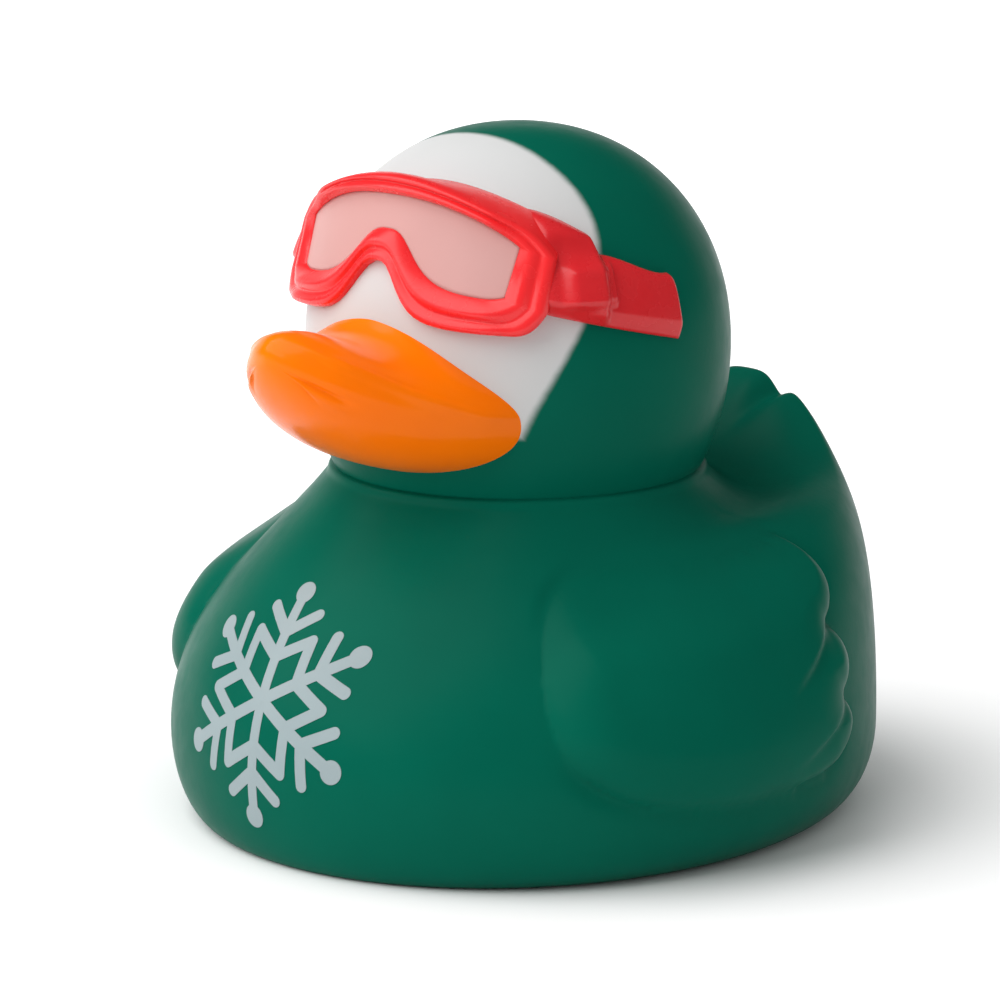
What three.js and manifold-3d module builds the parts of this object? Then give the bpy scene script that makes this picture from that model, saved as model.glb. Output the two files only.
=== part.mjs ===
// A bath duck in ski goggles: one hollow casting in soft vinyl, standing on a flat base.
// Millimetres, +Z up. The duck faces -Y, and its left wing is on +X.
// A bearing is an angle round the upright axis of the neck: 0 ahead, 90 to its left, 180 astern.
import * as THREE from "three";
import { LoftGeometry } from "three/addons/geometries/LoftGeometry.js";
import { mergeVertices } from "three/addons/utils/BufferGeometryUtils.js";
import Module from "manifold-3d";

// Casting
const wall = 2;
const ventDiameter = 3;

// Body
const neckHeight = 35.6;
const bodyHalfWidth = 35;
const chestReach = 35.4;
const rumpReach = 38.3;
const bellyHeight = 8.5;
const chestFootInset = 2.8;
const flankFootInset = 6.2;
const rumpFootInset = 4.8;
const shoulderHeight = neckHeight - 7.6;
const shoulderInset = 10;
const rumpRise = 3.4;
const rumpFullness = 6.2;
const rumpInnerAngle = 25;
const rumpOuterAngle = 128;

// Tail: a fan of three feathers round a hollow that faces the head
const tailHeight = neckHeight + 4.2;
const tailHalfAngle = 25;
const tailTipInset = 3.4;
const featherAngle = 9.5;
const featherNotch = 1.8;
const notchAngle = 3.2;
const valleyDip = 4.5;

// Head
const headRadius = 21.3;
const headLift = 11.9;
const headEquator = neckHeight + headLift;
const crownRise = 22;
const jowlDrop = 24.5;
const crownFullness = 2.12;
const neckLap = 0.3;
const neckOverlap = 3;
const neckRadius = headReach(neckHeight) - neckLap;

// Bill
const billLength = 13.3;
const billReach = headRadius + billLength;
const billRootHalfWidth = 16;
const billRootDepth = 15.3;
const billDrop = 4.5;
const billHeight = headEquator - billDrop;
const billClimb = 2.4;
const billUpturn = 4;
const billUpperDepth = 7.6;
const billLowerDepth = 7.4;
const billUpperCurve = 1.1;
const billLowerCurve = 0.9;
const billHump = 1.6;
const humpPlace = 0.41;
const humpSpread = 0.13;
const lipRelief = 0.55;

// Goggles: a visor bent to a cone that leans back with the forehead, its frame grooved all round
const lensRise = 12.5;
const lensHeight = headEquator + lensRise;
const lensTop = lensHeight + 4.4;
const lensCorner = lensHeight + 0.6;
const lensBottom = lensHeight - 4.75;
const lensBridge = lensHeight + 1.2;
const lensHalfLength = 14.9;
const lensEndSlope = 1.2;
const lensBrowCurve = 2.3;
const visorStandoff = 0.7;
const visorRadius = 25.9;
const visorSetback = visorRadius - headReach(lensHeight) - visorStandoff;
const visorLean = 0.28;
const visorSkirt = 3;
const skirtFlare = 0.9;
const visorRoot = 9;
const noseHalfWidth = 4.4;
const noseTaper = 1.2;
const rimTop = 2;
const rimBrowCurve = 1.9;
const rimEnd = 3.6;
const rimBottom = 3.1;
const rimRelief = 1;
const rimGroove = 0.4;
const rimCorner = 2.3;
const rimEndFade = 0.45;
const lensRecess = 0.1;
const lensRound = 0.3;

// Goggle strap
const strapHeight = 5.7;
const strapRelief = 1.2;
const strapStartBearing = 46;
const strapEndBearing = 91;
const strapDrop = 6;
const strapEndHeight = lensHeight - strapDrop;
const strapClimb = 2.4;
const strapBend = 24;
const strapEdgeRound = 0.9;
const templeBearing = 67;
const templeRise = 4.6;
const templeEndRise = 1.7;
const templeRelief = 2.4;
const templeStep = 1.5;

// Wings
const wingBearing = 78;
const wingTopClearance = 5.3;
const wingHalfLength = 18;
const wingHalfHeight = 11;
const wingMidHeight = neckHeight - wingTopClearance - wingHalfHeight;
const wingRelief = 3.1;
const wingTopFade = 0.5;

// Facets
const bodySlices = 72;
const headSlices = 48;

const rad = THREE.MathUtils.degToRad;
const lerp = THREE.MathUtils.lerp;
const smooth = THREE.MathUtils.smoothstep;
const wasm = await Module();
wasm.setup();

// A watertight solid from a closed geometry, turned right side out.
function solid(geometry) {
  const bare = new THREE.BufferGeometry();
  bare.setAttribute("position", geometry.attributes.position);
  bare.setIndex(geometry.index);
  const merged = mergeVertices(bare, 1e-4);
  const points = merged.attributes.position;
  const corner = (i) => new THREE.Vector3().fromBufferAttribute(points, i);
  const index = merged.index.array;
  const faces = [];
  let volume = 0;
  for (let k = 0; k < index.length; k += 3) {
    const [a, b, c] = [index[k], index[k + 1], index[k + 2]];
    if (a === b || b === c || c === a) continue;
    faces.push([a, b, c]);
    volume += corner(a).dot(corner(b).cross(corner(c)));
  }
  if (volume < 0) faces.forEach((face) => face.reverse());
  return new wasm.Manifold(
    new wasm.Mesh({
      numProp: 3,
      vertProperties: new Float32Array(points.array),
      triVerts: new Uint32Array(faces.flat()),
    }),
  );
}

const at = (bearing, radius, height) =>
  new THREE.Vector3(radius * Math.sin(rad(bearing)), -radius * Math.cos(rad(bearing)), height);

const offAstern = (bearing) => Math.abs(180 - (((bearing % 360) + 360) % 360));

function bodyReach(bearing) {
  const ahead = Math.cos(rad(bearing));
  const reach = ahead > 0 ? chestReach : rumpReach;
  return 1 / Math.hypot(Math.sin(rad(bearing)) / bodyHalfWidth, ahead / reach);
}

// How far the edge of the flat base lies inside the widest part of the body.
function footInset(bearing) {
  const ahead = Math.cos(rad(bearing));
  return lerp(flankFootInset, ahead > 0 ? chestFootInset : rumpFootInset, ahead ** 2);
}

// Half section of the body at one bearing, from the edge of the flat base up to the neck.
function bodySection(bearing, inset, tailed) {
  const off = offAstern(bearing);
  const rump = 1 - smooth(off, rumpInnerAngle, rumpOuterAngle);
  const tail = tailed ? Math.exp(-((off / tailHalfAngle) ** 2.4)) : 0;
  const notch = tail * featherNotch * Math.exp(-(((off - featherAngle) / notchAngle) ** 2));
  const reach = bodyReach(bearing) - inset;
  const rise = neckHeight - shoulderHeight;
  const crestHeight =
    lerp(shoulderHeight + rumpRise * rump, tailHeight - notch, tail) - inset * (1 + 0.35 * rump);
  const crestReach = lerp(reach - shoulderInset + rumpFullness * rump, reach - tailTipInset, tail);
  const lean = lerp(rad(135 + 12 * rump), rad(185), tail);
  const grip = lerp(lerp(6.5, 4, rump), 1.6, tail);
  const run = lerp(lerp(4, 6.5, rump), 4.5, tail);
  const heading = new THREE.Vector2(Math.cos(lean), Math.sin(lean));
  const foot = new THREE.Vector2(reach - footInset(bearing), inset);
  const belly = new THREE.Vector2(reach, bellyHeight);
  const crest = new THREE.Vector2(crestReach, crestHeight);
  const neck = new THREE.Vector2(neckRadius - inset, neckHeight - 0.4 * inset);
  const dip = lerp(0.45 * rise, 0.45 * rise + valleyDip, rump);
  const path = new THREE.CurvePath();
  path.add(
    new THREE.CubicBezierCurve(
      foot,
      new THREE.Vector2(reach - 0.4 * footInset(bearing), inset),
      new THREE.Vector2(reach, lerp(inset, bellyHeight, 0.45)),
      belly,
    ),
  );
  path.add(
    new THREE.CubicBezierCurve(
      belly,
      new THREE.Vector2(reach, lerp(bellyHeight, crestHeight, 0.42)),
      crest.clone().addScaledVector(heading, -grip),
      crest,
    ),
  );
  path.add(
    new THREE.CubicBezierCurve(
      crest,
      crest.clone().addScaledVector(heading, run),
      neck.clone().add(new THREE.Vector2(0.75 * dip, -dip)),
      neck,
    ),
  );
  return path.curves;
}

function body(inset = 0) {
  const steps = inset ? [3, 5, 3] : [4, 9, 9];
  const bearings = [];
  const slices = inset ? bodySlices / 2 : bodySlices;
  for (let i = 0; i < slices; i++) bearings.push((360 * i) / slices);
  const sections = bearings.map((bearing) =>
    bodySection(bearing, inset, !inset).flatMap((curve, k) =>
      curve.getPoints(steps[k]).slice(k ? 1 : 0),
    ),
  );
  const rings = sections[0].map((_, k) =>
    sections.map((section, i) => at(bearings[i], section[k].x, section[k].y)),
  );
  const plugRadius = neckRadius - inset - neckOverlap;
  const plug = bearings.map((bearing) => at(bearing, plugRadius, neckHeight + neckOverlap));
  return solid(new LoftGeometry([...rings, plug], { capStart: true, capEnd: true }));
}

// Distance from the axis to the outside of the body at a bearing and a height.
function flank(bearing, height) {
  const line = bodySection(bearing, 0, true).flatMap((curve) => curve.getPoints(16));
  const k = line.findIndex((point) => point.y > height);
  const [low, high] = [line[k - 1], line[k]];
  return lerp(low.x, high.x, (height - low.y) / (high.y - low.y));
}

function headReach(height, inset = 0) {
  const up = height - headEquator;
  const share = Math.min(1, Math.abs(up) / ((up > 0 ? crownRise : jowlDrop) - inset));
  const power = up > 0 ? crownFullness : 2;
  return (headRadius - inset) * (1 - share ** power) ** (1 / power);
}

function head(inset = 0) {
  const points = [];
  const rows = inset ? 12 : 20;
  const floor = neckHeight - neckOverlap;
  const drop = Math.acos((floor - headEquator) / (jowlDrop - inset));
  points.push(new THREE.Vector2(0, floor));
  for (let i = rows; i > 0; i--) {
    const tilt = (drop * i) / rows;
    const share = Math.cos(tilt);
    const height = headEquator + share * ((share > 0 ? crownRise : jowlDrop) - inset);
    points.push(new THREE.Vector2(headReach(height, inset), height));
  }
  points.push(new THREE.Vector2(0, headEquator + crownRise - inset));
  const geometry = new THREE.LatheGeometry(points, inset ? headSlices / 2 : headSlices);
  return solid(geometry.rotateX(Math.PI / 2));
}

// Bill sections from the root inside the face to the upturned tip.
// along runs 0 at the root to 1 at the tip.
function bill(inset = 0) {
  const width = (along) => billRootHalfWidth * (1 - along ** 2.6) ** 0.6 * (1 - 0.16 * along);
  const mouth = (along) => billHeight + billClimb * along + billUpturn * along ** 4;
  const hump = (along) => billHump * Math.exp(-(((along - humpPlace) / humpSpread) ** 2));
  const upper = (along) =>
    (billUpperDepth * (1 - 0.24 * along) + hump(along)) * (1 - along ** 9) ** 0.5;
  const lower = (along) => billLowerDepth * (1 - along ** 2.6) ** 0.55;
  const stations = inset ? [0, 0.3, 0.55, 0.75] : [0, 0.3, 0.44, 0.56, 0.67, 0.77, 0.86, 0.93, 0.975, 1];
  const half = [90, 70, 52, 38, 27, 18, 10, 0, -10, -18, -28, -42, -58, -74];
  const angles = [...half, ...half.map((angle) => angle - 180)].reverse();
  const rings = stations.map((along) =>
    angles.map((angle) => {
      const [c, s] = [Math.cos(rad(angle)), Math.sin(rad(angle))];
      const lift = s > 0 ? upper(along) : lower(along);
      const lip = Math.exp(-(((Math.abs(s) - 0.3) / 0.13) ** 2)) - Math.exp(-((s / 0.1) ** 2));
      const relief = inset ? 0 : lipRelief * lip * smooth(along, 0.2, 0.5) * (1 - along ** 4);
      const fullness = s > 0 ? billUpperCurve : billLowerCurve;
      const x = Math.sign(c) * (Math.max(width(along) - inset, 0) * Math.abs(c) ** fullness + relief);
      const y = -lerp(headRadius - billRootDepth, billReach, along);
      const z = mouth(along) + Math.sign(s) * Math.max(lift - inset, 0) * Math.abs(s) ** fullness;
      return new THREE.Vector3(Math.abs(c) < 1e-6 ? 0 : x, y, z);
    }),
  );
  return solid(new LoftGeometry(rings, { capStart: true, capEnd: !!inset }));
}

// Outline of the lens, share 0, or of the frame round it, share 1, as points on the flat.
// The top edge runs right to left, then the bottom edge left to right. A flare lifts the top at both ends.
function goggleOutline(share, columns, flare = 0) {
  const top = lensTop + rimTop * share;
  const bottom = lensBottom - rimBottom * share;
  const bridge = lensBridge - rimBottom * share;
  const reach = lensHalfLength + rimEnd * share;
  const nose = noseHalfWidth - noseTaper * share;
  const round = lerp(lensRound, rimCorner, share);
  const upper = [];
  const lower = [];
  for (let i = 0; i <= columns; i++) {
    const across = 1 - (2 * i) / columns;
    const run = Math.abs(across);
    const p = reach * across;
    const end = round * (1 - Math.sqrt(Math.max(0, 1 - smooth(run, 0.8, 1) ** 2)));
    const brow = lerp(top, lensCorner, run ** lerp(lensBrowCurve, rimBrowCurve, share));
    upper.push(new THREE.Vector2(p, brow + flare * run - 0.5 * end));
    const q = p * (1 - (lensEndSlope * (1 - 0.5 * share)) / lensHalfLength);
    const arch = (bridge - bottom) / (1 + Math.abs(q / nose) ** 3);
    lower.push(new THREE.Vector2(q, bottom + arch + end));
  }
  return [...upper, ...lower.reverse()];
}

function visorPoint(flat, depth) {
  const turn = flat.x / visorRadius;
  const radius = visorRadius + visorLean * (lensHeight - flat.y) + depth;
  return new THREE.Vector3(radius * Math.sin(turn), visorSetback - radius * Math.cos(turn), flat.y);
}

function goggles() {
  const columns = 26;
  const ring = (share, depth, flare = 0) =>
    goggleOutline(share, columns, flare).map((flat) => {
      const fade = 1 - rimEndFade * smooth(Math.abs(flat.x) / lensHalfLength, 0.8, 1);
      return visorPoint(flat, depth > 0 ? depth * fade : depth);
    });
  const edge = goggleOutline(0, columns);
  const midline = edge.map((flat, i) => {
    const facing = edge[edge.length - 1 - i];
    return visorPoint(flat.clone().add(facing).multiplyScalar(0.5), -lensRecess);
  });
  const rings = [
    ring(0.8, -visorRoot),
    ring(1.02, -visorSkirt, skirtFlare),
    ring(1, 0.35 * rimRelief),
    ring(0.85, rimRelief),
    ring(0.66, rimRelief),
    ring(0.54, rimRelief - rimGroove),
    ring(0.42, rimRelief),
    ring(0.12, 0.6 * rimRelief),
    ring(0, -lensRecess),
    midline,
  ];
  return solid(new LoftGeometry(rings, { capStart: true }));
}

// Left strap: a temple block behind the frame, its top sloping down, then a band with a blunt end.
function strap() {
  const rings = [];
  for (const share of [0, 0.14, 0.28, 0.4, 0.46, 0.49, 0.55, 0.7, 0.86, 0.97, 1]) {
    const bearing = lerp(strapStartBearing, strapEndBearing, share);
    const temple = 1 - smooth(bearing, templeBearing - templeStep, templeBearing + templeStep);
    const slope = ((bearing - strapStartBearing) / (templeBearing - strapStartBearing)) ** 1.6;
    const middle = strapEndHeight + strapClimb * smooth(strapEndBearing - bearing, 0, strapBend);
    const low = middle - strapHeight / 2;
    const high = middle + strapHeight / 2 + temple * lerp(templeRise, templeEndRise, slope);
    const relief = lerp(strapRelief, templeRelief, temple) * (share === 1 ? 0.55 : 1);
    const edge = [
      [high - strapEdgeRound, -wall],
      [high, 0],
      [high - 0.2 * strapEdgeRound, 0.55 * relief],
      [high - strapEdgeRound, relief],
      [low + strapEdgeRound, relief],
      [low + 0.2 * strapEdgeRound, 0.55 * relief],
      [low, 0],
      [low + strapEdgeRound, -wall],
    ];
    rings.push(edge.map(([z, out]) => at(bearing, headReach(z) + out, z)));
  }
  return new LoftGeometry(rings, { capStart: true, capEnd: true });
}

// Wing outline on the flat: rounded in front, three feather ends behind.
function wingOutline() {
  const [l, h] = [wingHalfLength, wingHalfHeight];
  const shape = new THREE.Shape();
  shape.moveTo(-l, 0.28 * h);
  shape.bezierCurveTo(-l, 0.62 * h, -0.9 * l, 0.84 * h, -0.6 * l, 0.87 * h);
  shape.bezierCurveTo(-0.2 * l, 0.92 * h, 0.4 * l, 0.86 * h, 0.98 * l, 1.02 * h);
  shape.bezierCurveTo(1.12 * l, 0.8 * h, 1.08 * l, 0.46 * h, 0.9 * l, 0.28 * h);
  shape.bezierCurveTo(1.08 * l, 0.2 * h, 1.1 * l, -0.18 * h, 0.93 * l, -0.36 * h);
  shape.bezierCurveTo(1.08 * l, -0.46 * h, 1.06 * l, -0.78 * h, 0.82 * l, -0.98 * h);
  shape.bezierCurveTo(0.5 * l, -1.14 * h, 0, -1.14 * h, -0.3 * l, -1.03 * h);
  shape.bezierCurveTo(-0.75 * l, -0.86 * h, -l, -0.3 * h, -l, 0.28 * h);
  return shape.getSpacedPoints(44).slice(0, -1).reverse();
}

// Left wing: a low cushion on the flank that fades into the shoulder along its upper front edge.
function wing() {
  const outline = wingOutline();
  const ring = (share, lift) =>
    outline.map((flat) => {
      const [x, y] = [flat.x * share, flat.y * share];
      const upper = smooth(y, 0.2 * wingHalfHeight, 0.85 * wingHalfHeight);
      const front = 1 - smooth(x, 0, 0.9 * wingHalfLength);
      const bearing = wingBearing + THREE.MathUtils.radToDeg(x / bodyHalfWidth);
      const height = wingMidHeight + y;
      return at(bearing, flank(bearing, height) + lift * (1 - wingTopFade * upper * front), height);
    });
  const rings = [ring(0, -wall), ring(0.6, -wall), ring(0.98, -0.8 * wall)];
  for (const share of [1, 0.96, 0.88, 0.72, 0.45]) {
    rings.push(ring(share, wingRelief * (1 - share ** 4) ** 0.55));
  }
  rings.push(ring(0, wingRelief));
  return new LoftGeometry(rings);
}

function vent() {
  const bore = new THREE.CylinderGeometry(ventDiameter / 2, ventDiameter / 2, 4 * wall, 24);
  return solid(bore.rotateX(Math.PI / 2));
}

// A left-hand feature with its mirror image on the right.
function pair(geometry) {
  const left = solid(geometry);
  return left.add(solid(geometry.scale(-1, 1, 1)));
}

const outside = body().add(head()).add(bill()).add(goggles()).add(pair(strap())).add(pair(wing()));
const hollow = body(wall).add(head(wall)).add(bill(wall));
const casting = outside.subtract(hollow).subtract(vent());

const mesh = casting.getMesh();
const geometry = new THREE.BufferGeometry();
geometry.setAttribute("position", new THREE.BufferAttribute(new Float32Array(mesh.vertProperties), 3));
geometry.setIndex(new THREE.BufferAttribute(new Uint32Array(mesh.triVerts), 1));
geometry.computeBoundingBox();
const box = geometry.boundingBox;
geometry.translate(0, -(box.min.y + box.max.y) / 2, 0);
geometry.computeVertexNormals();

const vinyl = new THREE.MeshStandardMaterial({ color: 0x04624d, roughness: 0.45, metalness: 0 });
const duck = new THREE.Mesh(geometry, vinyl);
duck.name = "duck_shell";

const group = new THREE.Group();
group.add(duck);
export default group;
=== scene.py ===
# %% [markdown]
# # A bath duck in ski goggles
# The real duck is one hollow skin of soft vinyl, cast in a closed mould. Afterwards it is sprayed
# through masks: a white face, an orange bill, red goggles with a pink lens. A snowflake is printed
# on its chest. This lesson rebuilds the skin in the fine shapes that the eye sees, one painted area
# at a time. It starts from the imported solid, which fixes the size and the place of everything.

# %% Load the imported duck
import functools
import math

import bmesh
import bpy
from mathutils import Matrix, Vector
from mathutils.geometry import interpolate_bezier
from mathutils.kdtree import KDTree


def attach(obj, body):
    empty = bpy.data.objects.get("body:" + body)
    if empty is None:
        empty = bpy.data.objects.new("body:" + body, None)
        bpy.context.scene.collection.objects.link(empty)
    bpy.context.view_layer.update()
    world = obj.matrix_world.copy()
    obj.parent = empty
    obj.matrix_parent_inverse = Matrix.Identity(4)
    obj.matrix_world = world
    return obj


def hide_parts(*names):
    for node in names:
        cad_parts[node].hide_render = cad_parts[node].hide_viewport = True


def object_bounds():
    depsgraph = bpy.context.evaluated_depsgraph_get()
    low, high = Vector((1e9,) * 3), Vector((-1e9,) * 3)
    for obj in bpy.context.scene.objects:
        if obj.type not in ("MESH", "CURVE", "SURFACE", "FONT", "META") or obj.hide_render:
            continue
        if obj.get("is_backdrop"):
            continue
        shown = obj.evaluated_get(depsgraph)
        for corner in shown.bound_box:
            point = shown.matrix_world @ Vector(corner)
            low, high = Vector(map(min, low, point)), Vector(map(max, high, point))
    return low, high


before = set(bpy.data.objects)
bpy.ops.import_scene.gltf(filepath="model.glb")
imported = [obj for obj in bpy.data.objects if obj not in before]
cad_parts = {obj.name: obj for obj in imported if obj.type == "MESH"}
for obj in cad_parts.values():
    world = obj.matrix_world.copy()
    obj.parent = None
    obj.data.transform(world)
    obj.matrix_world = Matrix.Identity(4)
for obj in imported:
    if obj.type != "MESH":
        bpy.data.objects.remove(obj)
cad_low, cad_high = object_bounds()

print("packed duck from", cad_low, "to", cad_high)

# %% [markdown]
# ## Working units
# A toy this small is easiest to think about in millimetres, measured from the upright axis of the
# neck. Every mesh below is shaped that way and is turned into metres, in the place of the packed
# duck, as its last step. The chest is the foremost point of the duck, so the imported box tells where
# the neck's axis stands.

# %% Millimetres and the neck's axis
MM = 0.001
CHEST_REACH = 35.4
AXIS_Y = cad_low.y / MM + CHEST_REACH


def at(bearing, radius, height):
    """A point by its bearing round the neck: 0 ahead, 90 to the duck's left, 180 astern."""
    turn = math.radians(bearing)
    return Vector((radius * math.sin(turn), -radius * math.cos(turn), height))


print("neck axis at y", round(AXIS_Y, 2), "mm")

# %% [markdown]
# ## Four small curves
# Soft toys have hardly a straight line. Four functions make nearly all of the changes of form here:
# a straight mix of two sizes, an eased step from 0 to 1, a step up that comes down again, and a
# bell-shaped bump.

# %% Mix, ease, plateau and bump


def mix(first, second, share):
    return first + (second - first) * share


def ease(value, start, end):
    share = min(max((value - start) / (end - start), 0), 1)
    return share * share * (3 - 2 * share)


def plateau(value, start, full, fade, end):
    return ease(value, start, full) * (1 - ease(value, fade, end))


def bump(value, middle, width):
    return math.exp(-(((value - middle) / width) ** 2))


print("halfway up an eased step:", ease(0.5, 0, 1))

# %% [markdown]
# ## From mesh to piece
# A finished mesh gets its normals turned outwards, its true size and its place, and smooth shading.
# The size and place go into the mesh, so that the object itself stays at the origin. Then it rides
# on the one body of the duck and stands in for the plain packed shell.

# %% Finish a piece


def finish_piece(bm, name, material, crisp=None):
    """Turns a mesh into a piece. Edges that bend more than crisp degrees stay sharp."""
    bmesh.ops.recalc_face_normals(bm, faces=bm.faces)
    bmesh.ops.translate(bm, verts=bm.verts, vec=(0, AXIS_Y, 0))
    bmesh.ops.scale(bm, verts=bm.verts, vec=(MM, MM, MM))
    for face in bm.faces:
        face.smooth = True
    mesh = bpy.data.meshes.new(name)
    bm.to_mesh(mesh)
    bm.free()
    if crisp:
        mesh.set_sharp_from_angle(angle=math.radians(crisp))
    mesh.materials.append(material)
    piece = bpy.data.objects.new(name, mesh)
    bpy.context.scene.collection.objects.link(piece)
    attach(piece, "root")
    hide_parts("duck_shell")
    size = [round(x / MM, 1) for x in piece.dimensions]
    print(name, "has", len(mesh.polygons), "faces and measures", size)


# %% [markdown]
# ## Spray paint on soft vinyl
# All finishes on this toy are thin coats of vinyl paint. They differ in colour and gloss, and share
# three habits: a cloudy change of colour from the spray, patches that are a little duller, and the
# skin texture called orange peel. A picture could hold all that, but noise needs no picture and has
# no seams. So one function builds the shader. Its colour is a mix of two near tones, and no area is
# one flat colour.

# %% Small helpers for nodes


def add_node(tree, kind, settings=None, **links):
    """Adds a node. Settings fill sockets; links name sockets with the output they take."""
    node = tree.nodes.new(kind)
    for socket, value in (settings or {}).items():
        node.inputs[socket].default_value = value
    for socket, output in links.items():
        tree.links.new(output, node.inputs[socket.replace("_", " ")])
    return node


def noise(tree, where, scale, detail):
    settings = {"Scale": scale, "Detail": detail}
    return add_node(tree, "ShaderNodeTexNoise", settings, Vector=where).outputs["Fac"]


def blend(tree, share, first, second):
    """A colour that changes from first to second; each is a tuple or a socket."""
    node = tree.nodes.new("ShaderNodeMix")
    node.data_type = "RGBA"
    tree.links.new(share, node.inputs["Factor"])
    for socket, colour in zip([node.inputs[6], node.inputs[7]], [first, second]):
        if isinstance(colour, tuple):
            socket.default_value = (*colour, 1)
        else:
            tree.links.new(colour, socket)
    return node.outputs[2]


# %% Helpers for numbers in nodes


def ranged(tree, value, low, high, start=0.0, end=1.0, smooth=False):
    """Carries a value from the range start to end over to the range low to high."""
    node = tree.nodes.new("ShaderNodeMapRange")
    node.interpolation_type = "SMOOTHSTEP" if smooth else "LINEAR"
    tree.links.new(value, node.inputs["Value"])
    sockets = ["From Min", "From Max", "To Min", "To Max"]
    for socket, number in zip(sockets, [start, end, low, high]):
        node.inputs[socket].default_value = number
    return node.outputs["Result"]


def worked(tree, operation, first, second):
    """One step of arithmetic with two sockets."""
    node = tree.nodes.new("ShaderNodeMath")
    node.operation = operation
    tree.links.new(first, node.inputs[0])
    tree.links.new(second, node.inputs[1])
    return node.outputs[0]


# %% Build a sprayed finish
CLOUD = (60, 3)
CLOUD_SPAN = (0.35, 0.65)
PATCH = (420, 4)
PATCH_SPAN = (0.3, 0.7)
DULLING = 0.04
GRAIN = (1500, 2)
PEEL_DEPTH = 0.08


def sprayed(name, thin, full, rough, shine, peel):
    """A painted vinyl: two tones of the coat, its mean roughness, its mirroring and its peel."""
    material = bpy.data.materials.new(name)
    material.use_nodes = True
    tree = material.node_tree
    shader = tree.nodes["Principled BSDF"]
    shader.inputs["Specular IOR Level"].default_value = shine
    where = tree.nodes.new("ShaderNodeTexCoord").outputs["Object"]
    cloud = ranged(tree, noise(tree, where, *CLOUD), 0, 1, *CLOUD_SPAN)
    tree.links.new(blend(tree, cloud, thin, full), shader.inputs["Base Color"])
    patch = noise(tree, where, *PATCH)
    gloss = ranged(tree, patch, rough - DULLING, rough + DULLING, *PATCH_SPAN)
    tree.links.new(gloss, shader.inputs["Roughness"])
    settings = {"Strength": peel, "Distance": PEEL_DEPTH * MM}
    skin = add_node(tree, "ShaderNodeBump", settings, Height=noise(tree, where, *GRAIN))
    tree.links.new(skin.outputs["Normal"], shader.inputs["Normal"])
    print("mixed the finish", name)
    return material


# %% [markdown]
# ## The body: a section for every bearing
# The body is a turned shape that isn't round: broad in front, fuller behind, with a tail that
# stands up astern. A lathe alone can't make it. So one half section is described by three Bezier
# curves, from foot to belly, from belly to crest and from crest to neck, and the sizes in them
# change with the bearing.

# %% Sizes of the body
NECK_HEIGHT = 35.6
NECK_RADIUS = 18.32
BODY_HALF_WIDTH = 35
BELLY_HEIGHT = 8.5
CHEST_FOOT_INSET = 2.8
FLANK_FOOT_INSET = 6.2
RUMP_FOOT_INSET = 4.8
SHOULDER_HEIGHT = 28
SHOULDER_INSET = 10
RUMP_REACH = 38.3
RUMP_ANGLES = (25, 128)
RUMP_RISE = 3.4
RUMP_FULLNESS = 6.2
VALLEY_DIP = 4.5


def body_reach(bearing):
    ahead = math.cos(math.radians(bearing))
    reach = CHEST_REACH if ahead > 0 else RUMP_REACH
    return 1 / math.hypot(math.sin(math.radians(bearing)) / BODY_HALF_WIDTH, ahead / reach)


def foot_inset(bearing):
    """How far the edge of the flat base lies inside the widest part of the body."""
    ahead = math.cos(math.radians(bearing))
    return mix(FLANK_FOOT_INSET, CHEST_FOOT_INSET if ahead > 0 else RUMP_FOOT_INSET, ahead**2)


print("shoulder reaches", round(body_reach(45), 1), "mm at 45 degrees")

# %% [markdown]
# At its crest the section leans one way on the shoulder, another on the rump and a third on the
# tail. The three values of each crest size below belong to those three places, and the bearing
# mixes them.

# %% Half section of the body
TAIL_HEIGHT = 39.8
TAIL_HALF_ANGLE = 23.5
TAIL_SQUARENESS = 2.4
TAIL_TIP_INSET = 3.4
CREST_LEAN = (135, 147, 185)
CREST_GRIP = (6.5, 4, 1.6)
CREST_RUN = (4, 6.5, 4.5)
TOE_SHARE = 0.4
ANKLE_SHARE = 0.45
FLANK_SHARE = 0.42
COLLAR_DIP = 0.45
COLLAR_SPREAD = 0.75


@functools.cache
def body_curves(bearing):
    astern = abs(180 - bearing % 360)
    rump = 1 - ease(astern, *RUMP_ANGLES)
    tail = math.exp(-((astern / TAIL_HALF_ANGLE) ** TAIL_SQUARENESS))
    lean, grip, run = [
        mix(mix(on_shoulder, on_rump, rump), on_tail, tail)
        for on_shoulder, on_rump, on_tail in (CREST_LEAN, CREST_GRIP, CREST_RUN)
    ]
    heading = Vector((math.cos(math.radians(lean)), math.sin(math.radians(lean))))
    reach = body_reach(bearing)
    shoulder_reach = reach - SHOULDER_INSET + RUMP_FULLNESS * rump
    crest_reach = mix(shoulder_reach, reach - TAIL_TIP_INSET, tail)
    crest_height = mix(SHOULDER_HEIGHT + RUMP_RISE * rump, TAIL_HEIGHT, tail)
    dip = COLLAR_DIP * (NECK_HEIGHT - SHOULDER_HEIGHT) + VALLEY_DIP * rump
    foot = Vector((reach - foot_inset(bearing), 0))
    toe = Vector((reach - TOE_SHARE * foot_inset(bearing), 0))
    ankle = Vector((reach, ANKLE_SHARE * BELLY_HEIGHT))
    belly = Vector((reach, BELLY_HEIGHT))
    flank = Vector((reach, mix(BELLY_HEIGHT, crest_height, FLANK_SHARE)))
    crest = Vector((crest_reach, crest_height))
    neck = Vector((NECK_RADIUS, NECK_HEIGHT))
    collar = neck + Vector((COLLAR_SPREAD * dip, -dip))
    return [
        (foot, toe, ankle, belly),
        (belly, flank, crest - heading * grip, crest),
        (crest, crest + heading * run, collar, neck),
    ]


print("section astern", [tuple(round(x, 1) for x in curve[-1]) for curve in body_curves(180)])

# %% [markdown]
# The tail is a fan of three feathers. Two shallow notches in its crest part them. A cut would leave
# hard edges, so the skin only dips there, and the dip fades out down the tail.

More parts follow.
